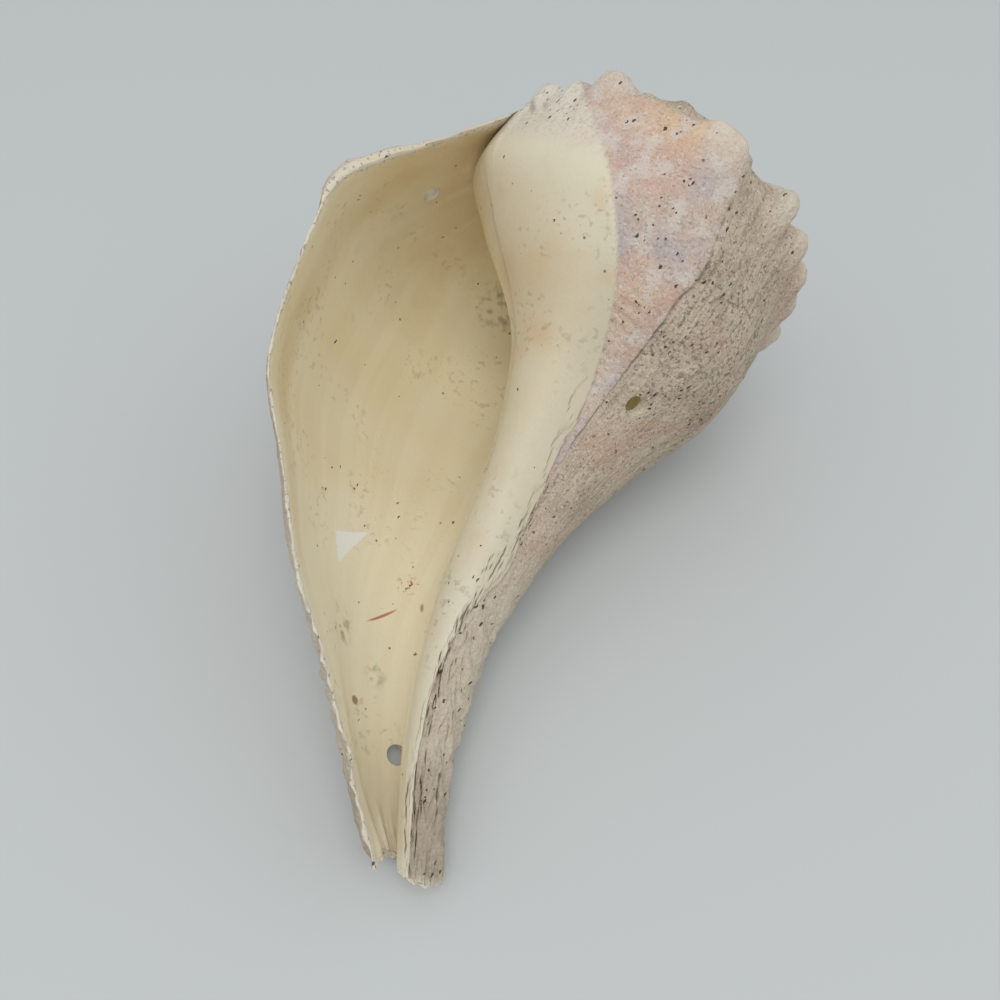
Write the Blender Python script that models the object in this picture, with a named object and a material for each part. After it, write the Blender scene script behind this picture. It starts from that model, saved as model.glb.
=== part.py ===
"""A large left-handed whelk shell, grown as one piece, lying with its opening up.

The shell is one closed solid. Its outside is a tube section that grows and
turns round an axis, read from three outlines: at the lip, half a turn back
and a whole turn back. The hollow is the same surface set in by the wall.
Lengths are in millimetres until the mesh is made, which is in metres.
The growth frame has the axis along +Z, with the canal tip at the bottom,
and an angle of zero at the lip that runs negative towards the apex.
"""
import math

import bmesh
import bpy
import numpy as np
from mathutils import Vector

MM = 0.001
TURN = 2 * math.pi

# Driving dimensions of the last turn
CANAL_DEPTH = 240.0
SHOULDER_DEPTHS = (73.0, 35.0, 8.0)
APEX_RISE = 13.0

# Outlines: share of the way from shoulder to canal tip, then radius
LIP_OUTLINE = ((0, 91), (0.08, 90), (0.2, 88.5), (0.35, 85), (0.5, 71), (0.65, 56), (0.8, 37), (0.9, 28), (1, 20.5))
SIDE_OUTLINE = ((0, 60), (0.08, 57), (0.2, 54), (0.35, 38.5), (0.5, 25.5), (0.65, 19), (0.8, 15), (0.9, 12), (1, 9))
PILLAR_OUTLINE = (
    (0, 46.5), (0.08, 52.5), (0.125, 54), (0.2, 43.5), (0.35, 17.5), (0.5, 9.5), (0.65, 7.5), (0.8, 6.5), (0.9, 5.5),
    (1, 4.5)
)

# The seam of each turn lies this share below the shoulder of the turn before
SEAM_SHARE = 0.045

# Growth lines sweep forward down the canal, and the canal bends near its end
LINE_SWEEP = (0.41, 0.14)
BEND_START = 0.61
BEND_SIDE = -23.7
BEND_UP = 6.5

# The back is a little flatter where the shell lies on it
FLAT_ANGLE = -1.95
FLAT_HALF_WIDTH = 0.8
FLAT_SHARE = 0.07

# Wall of the last turn, and how deep the hollow runs
WALL = 3.7
LIP_WALL = 2.6
LIP_TAPER = math.radians(24)
HOLLOW_TURNS = 1.5
CANAL_OPEN_TURNS = 0.29
HOLLOW_REACH = ((0, 1.0), (0.3, 1.0), (0.5, 0.94), (0.75, 0.74), (1, 0.46), (1.25, 0.27), (1.7, 0.17))

# Knobs on the shoulder of the last turn: angle in degrees, height, half width in degrees
KNOBS = (
    (-358, 2, 9), (-337, 3, 8), (-321, 8, 12), (-277, 6, 14), (-249, 7.5, 8), (-233, 6, 8), (-219, 6, 7),
    (-206, 5, 8), (-186, 9, 10), (-158, 10, 10), (-128, 9.8, 11), (-104, 12, 11), (-72, 11, 11), (-40, 9, 11),
    (-10, 3, 10)
)
SPIRE_KNOB_STEP = 27
SPIRE_KNOB_HEIGHT = 4.0

# Glaze over the front of the last turn: its edge as share down the shell and angle in degrees
GLAZE_EDGE = (
    (0, -336), (0.06, -322), (0.13, -307), (0.22, -293), (0.34, -279), (0.47, -271), (0.6, -266), (0.7, -300),
    (0.8, -321), (1, -340)
)
GLAZE_THICK = 1.4
GLAZE_FADE = math.radians(3)

# Old lip that the shell grew past, standing as a low ridge
OLD_LIP_ANGLE = math.radians(-268)
OLD_LIP_HEIGHT = 1.2
OLD_LIP_FADE = math.radians(5)

# Drilled holes: angle in degrees, place down the section from seam to tip, diameter
HOLES = (("body_hole", -250, 0.49, 6.2), ("canal_hole", -119, 0.9, 6.2), ("top_hole", -27, 0.134, 6.2))
HOLE_LENGTH = 22.0

# How it lies: heading of the axis, its rise, and how far the lip is turned up
HEADING = math.radians(26)
RISE = math.radians(20)
LIP_UP = math.radians(39)

# Mesh fineness
STEPS_PER_TURN = 45
SPIRE_TURNS = 4
RAMP_ROWS = (0, 0.25, 0.5, 0.72, 0.86)
BODY_SHARES = (
    0, SEAM_SHARE, 0.09, 0.13, 0.17, 0.22, 0.27, 0.32, 0.38, 0.44, 0.5, 0.56, 0.62, 0.68, 0.74, 0.8, 0.86, 0.91, 0.96, 1
)
RAMP_SPAN = 0.25


def clear_scene():
    for old in list(bpy.data.objects):
        bpy.data.objects.remove(old, do_unlink=True)


def ease(x):
    """Smooth step from 0 to 1."""
    x = np.clip(x, 0, 1)
    return x * x * (3 - 2 * x)


def smooth_curve(points):
    """A curve through the points that never overshoots them."""
    x = np.array([p[0] for p in points], float)
    y = np.array([p[1] for p in points], float)
    step = np.diff(x)
    slope = np.diff(y) / step
    lean = np.zeros(len(x))
    for i in range(1, len(x) - 1):
        if slope[i - 1] * slope[i] > 0:
            before = 2 * step[i] + step[i - 1]
            after = step[i] + 2 * step[i - 1]
            lean[i] = (before + after) / (before / slope[i - 1] + after / slope[i])
    lean[0] = slope[0]
    lean[-1] = slope[-1]

    def value(at):
        at = np.clip(np.asarray(at, float), x[0], x[-1])
        i = np.clip(np.searchsorted(x, at, side="right") - 1, 0, len(x) - 2)
        t = (at - x[i]) / step[i]
        rise = y[i] * (1 + 2 * t) * (1 - t) ** 2 + y[i + 1] * t * t * (3 - 2 * t)
        return rise + step[i] * (lean[i] * t * (1 - t) ** 2 - lean[i + 1] * t * t * (1 - t))

    return value


def log_outline(outline):
    return smooth_curve([(share, math.log(radius)) for share, radius in outline])


lip_outline = log_outline(LIP_OUTLINE)
side_outline = log_outline(SIDE_OUTLINE)
pillar_outline = log_outline(PILLAR_OUTLINE)
hollow_reach = smooth_curve(HOLLOW_REACH)
glaze_edge = smooth_curve(GLAZE_EDGE)
TURN_GROWTH = math.log(LIP_OUTLINE[0][1] / PILLAR_OUTLINE[0][1])


def between_stations(angle, at_lip, at_side, at_pillar):
    """Blend the three outlines, which stand half a turn apart."""
    t = np.clip(-angle / math.pi, 0, 2)
    return (t - 1) * (t - 2) / 2 * at_lip + t * (2 - t) * at_side + t * (t - 1) / 2 * at_pillar


def spire_scale(angle):
    """Size of the turns before the last, 1 at its start."""
    return np.exp(TURN_GROWTH * np.minimum(angle / TURN + 1, 0))


def shoulder_height(angle):
    lip, side, pillar = (-depth for depth in SHOULDER_DEPTHS)
    early = APEX_RISE + (pillar - APEX_RISE) * spire_scale(angle)
    return np.where(angle < -TURN, early, between_stations(angle, lip, side, pillar))


def body_point(angle, share):
    """Radius and height of the body, share 0 at the shoulder and 1 at the tip."""
    ends = lip_outline(share), side_outline(share), pillar_outline(share)
    log_radius = between_stations(angle, *ends)
    log_radius = log_radius - np.maximum(-angle / TURN - 1, 0) * (ends[0] - ends[2])
    scale = spire_scale(angle)
    top = shoulder_height(angle)
    drop = (CANAL_DEPTH + top) * share * (scale + (1 - scale) * ease(share / 0.4))
    near_back = np.exp(-((angle - FLAT_ANGLE) / FLAT_HALF_WIDTH) ** 2)
    flat = FLAT_SHARE * near_back * ease(share / 0.12) * ease((0.75 - share) / 0.3)
    return np.exp(log_radius) * (1 - flat), top - drop


def outside_point(angle, place):
    """Radius, height and share on the bare outside, place 0 at the seam and 1 at the tip."""
    angle, place = np.broadcast_arrays(np.asarray(angle, float), np.asarray(place, float))
    share = np.clip((place - RAMP_SPAN) / (1 - RAMP_SPAN), 0, 1)
    ramp = np.clip(place / RAMP_SPAN, 0, 1)
    radius, height = body_point(angle, share)
    seam_radius, seam_height = body_point(angle - TURN, np.full_like(angle, SEAM_SHARE))
    on_ramp = place < RAMP_SPAN
    radius = np.where(on_ramp, seam_radius + (radius - seam_radius) * ramp, radius)
    height = np.where(on_ramp, seam_height + (height - seam_height) * ramp, height)
    return radius, height, share


def outward(angle, place):
    """Direction out of the wall, in the plane through the axis."""
    nudge = 0.012
    low = np.clip(place - nudge, 0, 1)
    high = np.clip(place + nudge, 0, 1)
    r0, z0, _ = outside_point(angle, low)
    r1, z1, _ = outside_point(angle, high)
    length = np.hypot(r1 - r0, z1 - z0)
    return (z0 - z1) / length, (r1 - r0) / length


def knob_height(angle, place):
    """Height of the shoulder knobs at a point of the outside."""
    degrees = np.degrees(angle)
    total = np.zeros(np.broadcast(angle, place).shape)
    last_turn = [(at, height, width, 1.0) for at, height, width in KNOBS]
    first = KNOBS[0][0] - SPIRE_KNOB_STEP
    spire = []
    for i in range(int(SPIRE_TURNS * 360 / SPIRE_KNOB_STEP)):
        at = first - i * SPIRE_KNOB_STEP
        spire.append((at, SPIRE_KNOB_HEIGHT * float(spire_scale(math.radians(at))), 10, 0.0))
    for at, height, width, tail in last_turn + spire:
        round_part = ease(1 - np.abs(degrees - at) / width)
        above = ease(1 - (0.24 - place) / 0.12)
        below = ease(1 - (place - 0.24) / (0.044 + 0.08 * tail))
        total = total + height * round_part * np.where(place < 0.24, above, below)
    seam_free = np.where(angle < -TURN + 0.1, ease(1 - (place - 0.24) / 0.044), 1.0)
    grown = ease((angle / TURN + SPIRE_TURNS - 0.1) / 0.3)
    return total * grown * np.where(place < 0.24, 1.0, seam_free)


def outer_relief(angle, place, share):
    """Height of glaze and old lip over the bare outside."""
    edge = np.radians(glaze_edge(share))
    glaze = GLAZE_THICK * ease((edge - angle) / GLAZE_FADE) * ease((place - 0.3) / 0.06)
    from_old_lip = (angle - OLD_LIP_ANGLE) / OLD_LIP_FADE
    old_lip = OLD_LIP_HEIGHT * np.where(from_old_lip < 0, ease(1 + from_old_lip / 3), ease(1 - from_old_lip))
    old_lip = old_lip * ease((place - 0.3) / 0.06) * ease((0.62 - share) / 0.2)
    return glaze + old_lip


def shell_outside(angle, place):
    """Radius, height and share of the finished outside."""
    radius, height, share = outside_point(angle, place)
    out_r, out_z = outward(angle, place)
    knob = knob_height(angle, place)
    relief = outer_relief(angle, place, share)
    return radius + out_r * relief + knob, height + out_z * relief + 0.35 * knob, share


def wall_thickness(angle, share):
    thin = LIP_WALL + (WALL - LIP_WALL) * ease(-angle / LIP_TAPER)
    return thin * (1 - 0.25 * share) * spire_scale(angle)


def hollow_top(angle):
    """Share on the turn before, below its seam, where the hollow's roof meets it."""
    seam_r, seam_z = body_point(angle - TURN, SEAM_SHARE)
    edge_r, edge_z = body_point(angle, 0.0)
    length = math.hypot(edge_r - seam_r, edge_z - seam_z)
    down_r, down_z = (edge_z - seam_z) / length, -(edge_r - seam_r) / length
    needed = float(wall_thickness(angle, 0.0)) * 1.15
    for share in np.linspace(SEAM_SHARE + 0.01, 0.3, 117):
        r, z = body_point(angle - TURN, share)
        if (r - seam_r) * down_r + (z - seam_z) * down_z > needed:
            return share
    return 0.3


def place_in_world(radius, height, angle, share):
    """Turn the growth frame to how the shell lies."""
    ahead = math.sin(HEADING) * math.cos(RISE), math.cos(HEADING) * math.cos(RISE), math.sin(RISE)
    axis = Vector(ahead)
    left = Vector((0, 0, 1)).cross(axis).normalized()
    up = axis.cross(left)
    sweep = ease((share - SEAM_SHARE) / (1 - SEAM_SHARE))
    around = angle + LINE_SWEEP[0] * sweep + LINE_SWEEP[1] * sweep ** 2 + LIP_UP
    bend = np.clip((share - BEND_START) / (1 - BEND_START), 0, 1) ** 2
    axis, left, up = (np.array(v) for v in (axis, left, up))
    side = (radius * np.cos(around) + BEND_SIDE * bend)[..., None] * left
    lift = (radius * np.sin(around) + BEND_UP * bend)[..., None] * up
    return np.asarray(height)[..., None] * axis + side + lift


class SolidMesh:
    """Corners and faces of the shell, filled row by row."""

    def __init__(self):
        self.corners = []
        self.faces = []

    def add_corners(self, points):
        start = len(self.corners)
        self.corners.extend(points.tolist())
        return list(range(start, len(self.corners)))

    def add_strip(self, one, other):
        """Faces between two rows of corners, which may share some."""
        for i in range(len(one) - 1):
            ring = []
            for corner in (one[i], one[i + 1], other[i + 1], other[i]):
                if corner not in ring:
                    ring.append(corner)
            if len(ring) > 2:
                self.faces.append(ring)


def build_shell_corners():
    """All corners and faces of the closed shell, in the growth frame turned to rest."""
    solid = SolidMesh()
    step = TURN / STEPS_PER_TURN
    places = [row * RAMP_SPAN for row in RAMP_ROWS]
    places += [RAMP_SPAN + share * (1 - RAMP_SPAN) for share in BODY_SHARES]
    places = np.array(places)
    seam_row = len(RAMP_ROWS) + 1
    last_row = len(places) - 1
    first = -SPIRE_TURNS * STEPS_PER_TURN
    last_turn = -STEPS_PER_TURN

    # Outside, from the apex to the lip
    outer = {}
    apex = solid.add_corners(place_in_world(np.zeros(1), np.array([APEX_RISE]), np.zeros(1), np.zeros(1)))[0]
    for i in range(first, 1):
        rows = np.arange(1, last_row + 1) if i >= last_turn else np.arange(1, seam_row + 1)
        outer[i, 0] = outer.get((i - STEPS_PER_TURN, seam_row), apex)
        angle = np.full(len(rows), i * step)
        radius, height, share = shell_outside(angle, places[rows])
        ids = solid.add_corners(place_in_world(radius, height, angle, share))
        outer.update({(i, int(row)): corner for row, corner in zip(rows, ids)})
    for i in range(first, 0):
        rows = range(last_row + 1) if i >= last_turn else range(seam_row + 1)
        solid.add_strip([outer[i, row] for row in rows], [outer[i + 1, row] for row in rows])

    # Hollow: the turn before as its inner side, the set-in wall as its outer side
    depth = int(HOLLOW_TURNS * STEPS_PER_TURN)
    top_row = seam_row + 1
    open_steps = int(CANAL_OPEN_TURNS * STEPS_PER_TURN)
    inner, lining, floor = {}, {}, {}
    body_rows = np.arange(top_row, last_row + 1)
    body_share = np.array(BODY_SHARES[2:])
    spread = (body_share - body_share[0]) / (1 - body_share[0])
    for i in range(0, -depth - 1, -1):
        angle = i * step
        reach = float(hollow_reach(-angle / TURN))
        if i == 0:
            inner.update({(i, int(row)): outer[last_turn, int(row)] for row in body_rows})
            top_share = body_share[0]
            inner_share = body_share
        else:
            top_share = max(hollow_top(angle), SEAM_SHARE + 0.03)
            fade = float(ease(-angle / 0.5))
            top_share = body_share[0] * (1 - fade) + top_share * fade
            inner_share = top_share + spread * (reach - top_share)
            before = np.full(len(body_rows), angle - TURN)
            place = RAMP_SPAN + inner_share * (1 - RAMP_SPAN)
            radius, height, share = outside_point(before, place)
            relief = outer_relief(before, place, share)
            ids = solid.add_corners(place_in_world(radius + relief, height, before, share))
            inner.update({(i, int(row)): corner for row, corner in zip(body_rows, ids)})
        top_r, top_z = (float(v) for v in body_point(angle - TURN, top_share))
        lining[i, 0] = inner[i, top_row]
        rows = np.arange(1, last_row + 1)
        share = np.clip((places[rows] - RAMP_SPAN) / (1 - RAMP_SPAN), 0, 1) * reach
        place = np.where(places[rows] < RAMP_SPAN, places[rows], RAMP_SPAN + share * (1 - RAMP_SPAN))
        here = np.full(len(rows), angle)
        radius, height, share = outside_point(here, place)
        out_r, out_z = outward(here, place)
        wall = wall_thickness(here, share)
        radius, height = radius - out_r * wall, height - out_z * wall
        corner_row = len(RAMP_ROWS)
        ramp = places[1:corner_row] / RAMP_SPAN
        radius[:corner_row - 1] = top_r + (radius[corner_row - 1] - top_r) * ramp
        height[:corner_row - 1] = top_z + (height[corner_row - 1] - top_z) * ramp
        ids = solid.add_corners(place_in_world(radius, height, here, share))
        lining.update({(i, int(row)): corner for row, corner in zip(rows, ids)})
        if i <= -open_steps:
            low = [np.array(solid.corners[c]) for c in (lining[i, last_row], inner[i, last_row])]
            floor[i] = solid.add_corners(((low[0] + low[1]) / 2)[None, :])[0]

    def section(i):
        """Corners round the hollow at one step."""
        ring = [lining[i, row] for row in range(last_row + 1)]
        ring.append(floor[i])
        ring += [inner[i, row] for row in range(last_row, top_row - 1, -1)]
        return ring

    for i in range(0, -depth, -1):
        if i > -open_steps:
            rows = range(last_row + 1)
            solid.add_strip([lining[i, row] for row in rows], [lining[i - 1, row] for row in rows])
            rows = range(top_row, last_row + 1)
            solid.add_strip([inner[i, row] for row in rows], [inner[i - 1, row] for row in rows])
        else:
            solid.add_strip(section(i), section(i - 1))

    # Lip face, canal end, bottom of the hollow and apex
    solid.add_strip([outer[0, row] for row in range(last_row + 1)], [lining[0, row] for row in range(last_row + 1)])
    rim = [outer[i, last_row] for i in range(last_turn, 1)]
    rim += [lining[i, last_row] for i in range(0, -open_steps - 1, -1)]
    rim += [floor[-open_steps]]
    rim += [inner[i, last_row] for i in range(-open_steps, 0)]
    solid.faces.append(rim)
    end = section(-depth)
    half = [end[0]] + end[:0:-1]
    count = len(end) // 2
    solid.add_strip(end[:count + 1], half[:count + 1])
    solid.faces.append([outer[first, row] for row in range(seam_row + 1)])
    return solid


def make_material():
    material = bpy.data.materials.new("weathered_shell")
    material.use_nodes = True
    shader = material.node_tree.nodes["Principled BSDF"]
    shader.inputs["Base Color"].default_value = (0.62, 0.50, 0.38, 1)
    shader.inputs["Roughness"].default_value = 0.6
    shader.inputs["Metallic"].default_value = 0.0
    return material


def resting_shift(points):
    """Move that puts the middle of the box's bottom at the origin."""
    low, high = points.min(axis=0), points.max(axis=0)
    return np.array([(low[0] + high[0]) / 2, (low[1] + high[1]) / 2, low[2]])


def drill(shell, shift):
    """Cut the round holes that a drill left."""
    for name, degrees, place, diameter in HOLES:
        angle = np.array([math.radians(degrees)])
        place = np.array([place])
        radius, height, share = outside_point(angle, place)
        out_r, out_z = outward(angle, place)
        middle = place_in_world(radius, height, angle, share)[0] - shift
        above = place_in_world(radius + out_r * 10, height + out_z * 10, angle, share)[0] - shift
        direction = Vector(above - middle).normalized()
        bpy.ops.mesh.primitive_cylinder_add(vertices=16, radius=diameter / 2 * MM, depth=HOLE_LENGTH * MM)
        cutter = bpy.context.active_object
        cutter.name = name
        cutter.location = Vector(middle * MM)
        cutter.rotation_mode = "QUATERNION"
        cutter.rotation_quaternion = direction.to_track_quat("Z", "Y")
        cutter.hide_render = True
        cutter.display_type = "WIRE"
        cut = shell.modifiers.new(name, "BOOLEAN")
        cut.operation = "DIFFERENCE"
        cut.solver = "EXACT"
        cut.object = cutter


def make_shell():
    solid = build_shell_corners()
    points = np.array(solid.corners)
    shift = resting_shift(points)
    mesh = bpy.data.meshes.new("shell")
    mesh.from_pydata(((points - shift) * MM).tolist(), [], solid.faces)
    work = bmesh.new()
    work.from_mesh(mesh)
    bmesh.ops.recalc_face_normals(work, faces=work.faces)
    work.to_mesh(mesh)
    work.free()
    mesh.shade_smooth()
    mesh.set_sharp_from_angle(angle=math.radians(40))
    mesh.materials.append(make_material())
    shell = bpy.data.objects.new("shell", mesh)
    bpy.context.collection.objects.link(shell)
    drill(shell, shift)


clear_scene()
make_shell()
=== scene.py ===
import math

import bmesh
import bpy
import numpy as np
from mathutils import Matrix, Vector


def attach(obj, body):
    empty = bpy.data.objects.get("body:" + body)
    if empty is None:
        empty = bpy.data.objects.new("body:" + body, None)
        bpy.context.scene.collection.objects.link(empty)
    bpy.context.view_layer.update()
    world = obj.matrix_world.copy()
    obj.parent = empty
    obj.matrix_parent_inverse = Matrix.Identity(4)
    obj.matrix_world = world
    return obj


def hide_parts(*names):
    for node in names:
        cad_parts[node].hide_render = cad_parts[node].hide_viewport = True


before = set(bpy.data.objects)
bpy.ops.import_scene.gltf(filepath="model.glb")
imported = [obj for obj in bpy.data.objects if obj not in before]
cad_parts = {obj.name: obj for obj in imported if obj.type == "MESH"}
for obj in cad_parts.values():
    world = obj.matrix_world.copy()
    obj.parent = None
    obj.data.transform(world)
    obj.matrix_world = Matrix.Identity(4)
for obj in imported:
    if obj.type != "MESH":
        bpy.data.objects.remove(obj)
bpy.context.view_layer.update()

# The shell: its growing form
# The body of a left-handed whelk, laid down by the animal as one tube of chalky aragonite.
# The tube widens as it turns round its axis, so three outlines half a turn apart give the
# whole of the last turn, and the older turns are the same form at a smaller size.
MM = 0.001
TURN = 2 * math.pi
CANAL_DEPTH = 240.0
SHOULDER_DEPTHS = (73.0, 35.0, 8.0)
APEX_RISE = 13.0
LIP_OUTLINE = (
    (0, 91), (0.08, 90), (0.2, 88.5), (0.35, 85), (0.5, 71), (0.65, 56), (0.8, 37), (0.9, 28), (1, 20.5),
)
SIDE_OUTLINE = (
    (0, 60), (0.08, 57), (0.2, 54), (0.35, 38.5), (0.5, 25.5), (0.65, 19), (0.8, 15), (0.9, 12), (1, 9),
)
PILLAR_OUTLINE = (
    (0, 46.5), (0.08, 52.5), (0.125, 54), (0.2, 43.5), (0.35, 17.5), (0.5, 9.5), (0.65, 7.5), (0.8, 6.5),
    (0.9, 5.5), (1, 4.5),
)
TURN_GROWTH = math.log(LIP_OUTLINE[0][1] / PILLAR_OUTLINE[0][1])
SEAM_SHARE = 0.045
LINE_SWEEP = (0.41, 0.14)
BEND_START = 0.61
BEND_SIDE = -23.7
BEND_UP = 6.5
FLAT_ANGLE = -1.95
FLAT_HALF_WIDTH = 0.8
FLAT_SHARE = 0.07
RAMP_SPAN = 0.25
SPIRE_TURNS = 4
HEADING = math.radians(26)
RISE = math.radians(20)
LIP_UP = math.radians(39)
AXIS_ORIGIN = np.array([38.496, 99.598, 85.759])


def ease(x):
    """Smooth step from 0 to 1."""
    x = np.clip(x, 0, 1)
    return x * x * (3 - 2 * x)


def smooth_curve(points):
    """A curve through the points that never overshoots them."""
    x = np.array([p[0] for p in points], float)
    y = np.array([p[1] for p in points], float)
    step = np.diff(x)
    slope = np.diff(y) / step
    lean = np.zeros(len(x))
    for i in range(1, len(x) - 1):
        if slope[i - 1] * slope[i] > 0:
            before = 2 * step[i] + step[i - 1]
            after = step[i] + 2 * step[i - 1]
            lean[i] = (before + after) / (before / slope[i - 1] + after / slope[i])
    lean[0] = slope[0]
    lean[-1] = slope[-1]

    def value(at):
        at = np.clip(np.asarray(at, float), x[0], x[-1])
        i = np.clip(np.searchsorted(x, at, side="right") - 1, 0, len(x) - 2)
        t = (at - x[i]) / step[i]
        rise = y[i] * (1 + 2 * t) * (1 - t) ** 2 + y[i + 1] * t * t * (3 - 2 * t)
        return rise + step[i] * (lean[i] * t * (1 - t) ** 2 - lean[i + 1] * t * t * (1 - t))

    return value


def log_outline(outline):
    return smooth_curve([(share, math.log(radius)) for share, radius in outline])


lip_outline = log_outline(LIP_OUTLINE)
side_outline = log_outline(SIDE_OUTLINE)
pillar_outline = log_outline(PILLAR_OUTLINE)


def between_stations(angle, at_lip, at_side, at_pillar):
    """Blend the three outlines, which stand half a turn apart."""
    t = np.clip(-angle / math.pi, 0, 2)
    return (t - 1) * (t - 2) / 2 * at_lip + t * (2 - t) * at_side + t * (t - 1) / 2 * at_pillar


def spire_scale(angle):
    """Size of the turns before the last, 1 at its start."""
    return np.exp(TURN_GROWTH * np.minimum(angle / TURN + 1, 0))


def shoulder_height(angle):
    lip, side, pillar = (-depth for depth in SHOULDER_DEPTHS)
    early = APEX_RISE + (pillar - APEX_RISE) * spire_scale(angle)
    return np.where(angle < -TURN, early, between_stations(angle, lip, side, pillar))


def body_point(angle, share):
    """Radius and height of the body, share 0 at the shoulder and 1 at the tip."""
    ends = lip_outline(share), side_outline(share), pillar_outline(share)
    log_radius = between_stations(angle, *ends)
    log_radius = log_radius - np.maximum(-angle / TURN - 1, 0) * (ends[0] - ends[2])
    scale = spire_scale(angle)
    top = shoulder_height(angle)
    drop = (CANAL_DEPTH + top) * share * (scale + (1 - scale) * ease(share / 0.4))
    near_back = np.exp(-((angle - FLAT_ANGLE) / FLAT_HALF_WIDTH) ** 2)
    flat = FLAT_SHARE * near_back * ease(share / 0.12) * ease((0.75 - share) / 0.3)
    return np.exp(log_radius) * (1 - flat), top - drop


def outside_point(angle, place):
    """Radius, height and share on the bare outside, place 0 at the seam and 1 at the tip."""
    angle, place = np.broadcast_arrays(np.asarray(angle, float), np.asarray(place, float))
    share = np.clip((place - RAMP_SPAN) / (1 - RAMP_SPAN), 0, 1)
    ramp = np.clip(place / RAMP_SPAN, 0, 1)
    radius, height = body_point(angle, share)
    seam_radius, seam_height = body_point(angle - TURN, np.full_like(angle, SEAM_SHARE))
    on_ramp = place < RAMP_SPAN
    radius = np.where(on_ramp, seam_radius + (radius - seam_radius) * ramp, radius)
    height = np.where(on_ramp, seam_height + (height - seam_height) * ramp, height)
    return radius, height, share


def outward(angle, place):
    """Direction out of the wall, in the plane through the axis."""
    nudge = 0.012
    low = np.clip(place - nudge, 0, 1)
    high = np.clip(place + nudge, 0, 1)
    r0, z0, _ = outside_point(angle, low)
    r1, z1, _ = outside_point(angle, high)
    length = np.hypot(r1 - r0, z1 - z0)
    return (z0 - z1) / length, (r1 - r0) / length


def place_in_world(radius, height, angle, share):
    """Turn the growth frame to how the shell lies, in millimetres."""
    axis = Vector((math.sin(HEADING) * math.cos(RISE), math.cos(HEADING) * math.cos(RISE), math.sin(RISE)))
    left = Vector((0, 0, 1)).cross(axis).normalized()
    up = axis.cross(left)
    sweep = ease((share - SEAM_SHARE) / (1 - SEAM_SHARE))
    around = angle + LINE_SWEEP[0] * sweep + LINE_SWEEP[1] * sweep ** 2 + LIP_UP
    bend = np.clip((share - BEND_START) / (1 - BEND_START), 0, 1) ** 2
    axis, left, up = (np.array(v) for v in (axis, left, up))
    side = (radius * np.cos(around) + BEND_SIDE * bend)[..., None] * left
    lift = (radius * np.sin(around) + BEND_UP * bend)[..., None] * up
    return np.asarray(height)[..., None] * axis + side + lift + AXIS_ORIGIN


# The shell: knobs, glaze, old lip and growth lines
# Knobs are where the lip stood open for a while. The glaze is a later, smoother coat that
# the animal laid over the front of the last turn. It ends in a ledge that has come loose in
# layers down the canal. The low ridge beside it is an old lip that the shell grew past.
# Each knob: angle in degrees, height, half width in degrees. The last one is a shallow dip
KNOBS = (
    (-358, 2, 9), (-337, 2.5, 8), (-321, 6.5, 12), (-277, 6, 14), (-249, 7.5, 8), (-233, 6, 8),
    (-219, 6, 7), (-206, 5, 8), (-186, 9, 10), (-158, 10, 10), (-128, 9.8, 11), (-104, 12, 11),
    (-72, 11, 11), (-40, 9, 11), (-3, 6, 6), (-338, -2.2, 30),
)
SPIRE_KNOB_STEP = 27
SPIRE_KNOB_HEIGHT = 4.0
SPIRE_KNOB_WIDTH = 10
KNOB_PLACE = 0.24
KNOB_RISE = 0.12
KNOB_FALL = 0.03
KNOB_TAIL = 0.004
KNOB_LIFT = 0.35
KNOB_PLATEAU = 1.15
GLAZE_EDGE = smooth_curve((
    (0, -336), (0.06, -322), (0.13, -307), (0.22, -293), (0.34, -279), (0.47, -271), (0.6, -266), (0.7, -300),
    (0.8, -321), (1, -340)
))
GLAZE_THICK = 0.9
GLAZE_LAYER = 0.5
GLAZE_BRIM = 1.4
LAYER_BRIM = 1.3
LAYER_BACK = 7
OLD_LIP_ANGLE = -268
OLD_LIP_STEP = 0.7
OLD_LIP_GROOVE = 0.25
GROWTH_LINE = 0.22
RIB_PITCH = 2.6
RIB_START = -296
RIB_REACH = 190
RIB_HEIGHT = 0.7
CRACK_DEPTH = 0.6
CANAL_LUMPS = 0.85
CRACKS = (
    (-268, -276, 0.44, 0.64, 0.5), (-274, -290, 0.5, 0.78, 0.8), (-288, -312, 0.58, 0.86, 0.9),
    (-296, -326, 0.64, 1.0, 1.2), (-262, -288, 0.78, 1.0, 1.2), (-312, -334, 0.72, 0.97, 1.3),
    (-342, -350, 0.86, 1.0, 2.2), (-200, -215, 0.6, 0.74, 0.7), (-92, -80, 0.86, 0.97, 1.0),
)


def wobble(x, seed):
    """A smooth random line between -1 and 1 that changes about once a unit."""
    table = np.random.default_rng(seed).uniform(-1, 1, 2048)
    x = np.asarray(x, float) + 1024
    at = np.floor(x).astype(int)
    t = x - at
    t = t * t * (3 - 2 * t)
    return table[at % 2048] * (1 - t) + table[(at + 1) % 2048] * t


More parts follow.
